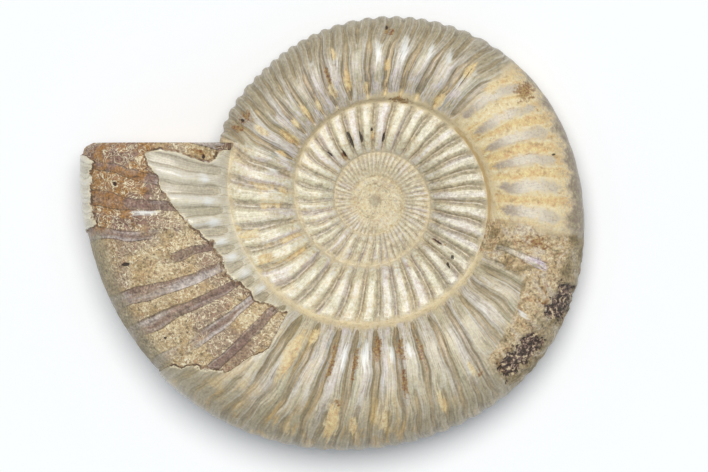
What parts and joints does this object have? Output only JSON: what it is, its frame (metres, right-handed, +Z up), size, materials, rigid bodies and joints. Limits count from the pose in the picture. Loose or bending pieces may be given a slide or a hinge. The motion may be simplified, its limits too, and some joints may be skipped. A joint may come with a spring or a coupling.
{
  "type": "polished ammonite fossil",
  "caption": "Coiled, ribbed ammonite fossil with a polished shell and exposed stone, lying on its side as a display piece or paperweight.",
  "frame": {"origin": "middle of the object's box on the surface that it lies on", "axes": "+X along the longest side of the coil, with the broken mouth at -X and facing +Y; +Z up, across the coil, out of the side that is shown"},
  "size_m": [0.1198, 0.103, 0.0292],
  "materials": {
    "ammonite": "polished, with matt patches of exposed stone"
  },
  "bodies": {
    "root": {"ammonite": "ammonite"}
  },
  "joints": []
}
